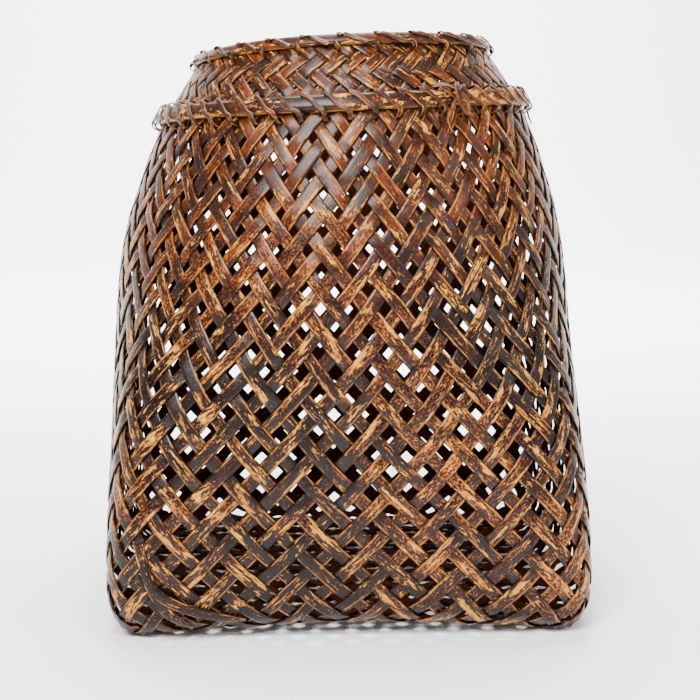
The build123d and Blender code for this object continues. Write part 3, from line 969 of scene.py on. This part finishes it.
FLOOR_HALF_WIDTH, FLOOR_FRONT = 6.0, -4.0
SWEEP_FROM, SWEEP_RADIUS, SWEEP_PARTS, BACKDROP_TOP = 2.2, 1.2, 24, 5.0
WORLD_STRENGTH = 0.55
SENSOR_WIDTH = 36              # millimetres
BASKET_AIM, BACKDROP_AIM = (0, 0, 0.15), (0, 3.4, 0.6)

# name, place, diameter, power and what it is aimed at
LAMPS = (
    ("key", (-0.4, -1.15, 1.3), 0.8, 64, BASKET_AIM),
    ("fill", (1.3, -0.9, 0.9), 0.9, 9, BASKET_AIM),
    ("top", (0.05, 0.55, 1.8), 1.0, 62, BASKET_AIM),
    ("back", (0.0, 1.2, 2.0), 2.2, 330, BACKDROP_AIM),
)


class BASKET_OT_stage(bpy.types.Operator):
    """Set up the pale floor, the soft lights and the camera"""
    bl_idname = "basket.stage"
    bl_label = "Set the stage"

    def execute(self, context):
        settings = context.scene.basket_stage
        scene = context.scene
        floor_material = bpy.data.materials.new("Studio floor")
        floor_material.use_nodes = True
        tree = floor_material.node_tree
        shader = tree.nodes["Principled BSDF"]
        place = node(tree, "ShaderNodeTexCoord").outputs["Object"]
        mottle = stretched_noise(tree, place, (3, 3, 3), 3, 1.0)
        shade = tuple(settings.floor)
        link(tree, mixed(tree, mottle, shade, tuple(min(c * 1.01, 1) for c in shade)),
             shader.inputs["Base Color"])
        shader.inputs["Roughness"].default_value = 0.6
        shader.inputs["Specular IOR Level"].default_value = 0.2
        rows = [(FLOOR_FRONT, 0.0)]
        for i in range(SWEEP_PARTS + 1):
            turn = math.radians(90 * i / SWEEP_PARTS)
            rows.append((SWEEP_FROM + SWEEP_RADIUS * math.sin(turn),
                         SWEEP_RADIUS * (1 - math.cos(turn))))
        rows.append((SWEEP_FROM + SWEEP_RADIUS, BACKDROP_TOP))
        verts = [(x, y, z) for y, z in rows for x in (-FLOOR_HALF_WIDTH, FLOOR_HALF_WIDTH)]
        faces = [(2 * i, 2 * i + 1, 2 * i + 3, 2 * i + 2) for i in range(len(rows) - 1)]
        mesh = bpy.data.meshes.new("Studio floor")
        mesh.from_pydata(verts, [], faces)
        mesh.polygons.foreach_set("use_smooth", [True] * len(faces))
        floor = bpy.data.objects.new("studio_floor", mesh)
        floor.data.materials.append(floor_material)
        scene.collection.objects.link(floor)

        world = bpy.data.worlds.new("Studio light")
        world.use_nodes = True
        background = world.node_tree.nodes["Background"]
        background.inputs["Color"].default_value = (1, 1, 1, 1)
        background.inputs["Strength"].default_value = WORLD_STRENGTH
        scene.world = world
        for name, at, size, power, target in LAMPS:
            lamp = bpy.data.lights.new(name, "AREA")
            lamp.shape = "DISK"
            lamp.size = size
            lamp.energy = power
            holder = bpy.data.objects.new(name, lamp)
            holder.location = at
            aim = Vector(target) - Vector(at)
            holder.rotation_euler = aim.to_track_quat("-Z", "Y").to_euler()
            scene.collection.objects.link(holder)

        camera = bpy.data.cameras.new("Camera")
        camera.sensor_width = SENSOR_WIDTH
        camera.lens = settings.lens
        camera.dof.use_dof = False
        holder = bpy.data.objects.new("Camera", camera)
        turn = settings.azimuth
        holder.location = (-settings.distance * math.sin(turn),
                           -settings.distance * math.cos(turn), settings.camera_height)
        holder.rotation_euler = (math.radians(90) - settings.pitch, 0, -turn + settings.yaw)
        scene.collection.objects.link(holder)
        scene.camera = holder
        return {"FINISHED"}


class BASKET_PT_panel(bpy.types.Panel):
    """Sizes and steps of the basket"""
    bl_label = "Plaited basket"
    bl_idname = "BASKET_PT_panel"
    bl_space_type = "VIEW_3D"
    bl_region_type = "UI"
    bl_category = "Basket"

    def draw(self, context):
        scene = context.scene
        for settings in (scene.basket_splints, scene.basket_hoops, scene.basket_stage):
            box = self.layout.box()
            for key in settings.__annotations__:
                box.prop(settings, key)
        for operator in OPERATORS:
            self.layout.operator(operator.bl_idname)


OPERATORS = (BASKET_OT_splints, BASKET_OT_shoulder_hoop, BASKET_OT_rim, BASKET_OT_lashings,
             BASKET_OT_stage)
CLASSES = (SplintSettings, HoopSettings, StageSettings, *OPERATORS, BASKET_PT_panel)


def register():
    for cls in CLASSES:
        bpy.utils.register_class(cls)
    bpy.types.Scene.basket_splints = bpy.props.PointerProperty(type=SplintSettings)
    bpy.types.Scene.basket_hoops = bpy.props.PointerProperty(type=HoopSettings)
    bpy.types.Scene.basket_stage = bpy.props.PointerProperty(type=StageSettings)


def unregister():
    del bpy.types.Scene.basket_stage
    del bpy.types.Scene.basket_hoops
    del bpy.types.Scene.basket_splints
    for cls in reversed(CLASSES):
        bpy.utils.unregister_class(cls)


def main():
    register()
    bpy.ops.basket.splints()
    bpy.ops.basket.shoulder_hoop()
    bpy.ops.basket.rim()
    bpy.ops.basket.lashings()
    bpy.ops.basket.stage()
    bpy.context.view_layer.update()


if __name__ == "__main__":
    main()
